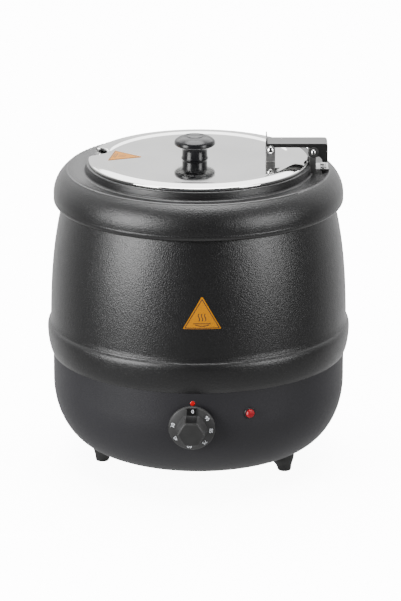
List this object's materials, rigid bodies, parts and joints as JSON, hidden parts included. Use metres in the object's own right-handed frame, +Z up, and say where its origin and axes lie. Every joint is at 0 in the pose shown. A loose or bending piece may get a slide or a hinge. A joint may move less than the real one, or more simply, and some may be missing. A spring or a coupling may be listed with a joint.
{
  "type": "soup kettle",
  "caption": "Electric countertop soup kettle: round black double-walled body, steel water bath and lift-out pot, hinged ladle lid, control dial and rubber feet.",
  "frame": {"origin": "on the kettle's vertical axis, level with the soles of its feet", "axes": "+Z up along the body's axis; the control dial faces -Y; the lid's hinge is at +X"},
  "size_m": [0.3402, 0.3772, 0.3755],
  "materials": {
    "painted_hammered": "black hammered powder coat, gloss",
    "painted_satin": "dark grey satin powder coat",
    "stainless_polished": "mirror-polished stainless steel",
    "stainless_brushed": "brushed stainless steel",
    "stainless_vessel": "satin stainless steel",
    "zinc_steel": "zinc-plated steel",
    "aluminium": "rolled aluminium",
    "knob_black": "gloss black phenolic",
    "dial_black": "satin black moulded plastic with white numbers",
    "lamp_black": "gloss black plastic",
    "lamp_red": "clear red plastic",
    "mark_red": "red plastic",
    "label_amber": "printed film, amber with a black border",
    "rubber_black": "moulded black rubber",
    "nylon_black": "black nylon",
    "silicone": "red silicone",
    "plastic_white": "natural white nylon",
    "ceramic_tan": "phenolic",
    "copper": "bare copper",
    "element_steel": "dark oxidised alloy sheath",
    "wire_brown": "brown insulation",
    "wire_blue": "blue insulation",
    "wire_green": "green and yellow insulation",
    "wire_black": "black insulation"
  },
  "bodies": {
    "base": {"lower_bowl": "painted_satin", "upper_jacket": "painted_hammered", "top_collar": "painted_hammered", "seam_ring": "zinc_steel", "bottom_cover": "zinc_steel", "cover_screws": "zinc_steel", "foot_front_left": "rubber_black", "foot_front_right": "rubber_black", "foot_rear": "rubber_black", "foot_screws": "zinc_steel", "water_bath": "stainless_vessel", "bath_gasket": "silicone", "hinge_bracket": "stainless_brushed", "bracket_screws": "stainless_brushed", "bracket_nuts": "zinc_steel", "hinge_backing_plate": "zinc_steel", "hinge_pin": "stainless_polished", "thermostat_body": "ceramic_tan", "thermostat_bracket": "zinc_steel", "thermostat_screws": "zinc_steel", "pilot_lamp_body": "lamp_black", "pilot_lamp_lens": "lamp_red", "pilot_lamp_nut": "plastic_white", "index_mark": "mark_red", "jacket_label": "label_amber", "heat_spreader": "aluminium", "heating_element": "element_steel", "heat_shield": "zinc_steel", "chassis_plate": "zinc_steel", "bath_studs": "zinc_steel", "stud_nuts": "zinc_steel", "foot_standoffs": "zinc_steel", "terminal_block": "plastic_white", "earth_stud": "zinc_steel", "thermal_cutout": "ceramic_tan", "cutout_clip": "zinc_steel", "capillary_bulb": "copper", "bulb_clips": "zinc_steel", "capillary_tube": "copper", "cord_gland": "nylon_black", "gland_nut": "nylon_black", "live_wire": "wire_brown", "neutral_wire": "wire_blue", "control_wire": "wire_black", "earth_wire": "wire_green"},
    "dial": {"control_knob": "dial_black", "thermostat_shaft": "zinc_steel"},
    "hinge_arm": {"lid_arm": "stainless_brushed"},
    "lid": {"lid": "stainless_polished", "lid_knob": "knob_black", "knob_screw": "zinc_steel", "knob_washer": "zinc_steel", "lid_lug": "stainless_brushed", "lid_pin": "stainless_polished", "lid_label": "label_amber"},
    "pot": {"soup_pot": "stainless_vessel"}
  },
  "joints": [
    {"name": "lid_hinge", "type": "hinge", "parent": "base", "child": "hinge_arm", "pos_m": [0.1277, 0, 0.3592], "axis": [0, 1, 0], "range_deg": [0, 90]},
    {"name": "lid_lean", "type": "hinge", "parent": "hinge_arm", "child": "lid", "pos_m": [0.08, 0, 0.362], "axis": [0, 1, 0], "range_deg": [0, 10]},
    {"name": "dial_turn", "type": "hinge", "parent": "base", "child": "dial", "pos_m": [-0.007, -0.16351, 0.0895], "axis": [0.0427, 0.9967, 0.0698], "range_deg": [-5, 307]},
    {"name": "pot_lift", "type": "slide", "parent": "base", "child": "pot", "axis": [0, 0, 1], "range_m": [0, 0.0015]}
  ],
  "couplings": [
    {"joint": "lid_lean", "follows": "lid_hinge", "ratio": 0.11111}
  ]
}
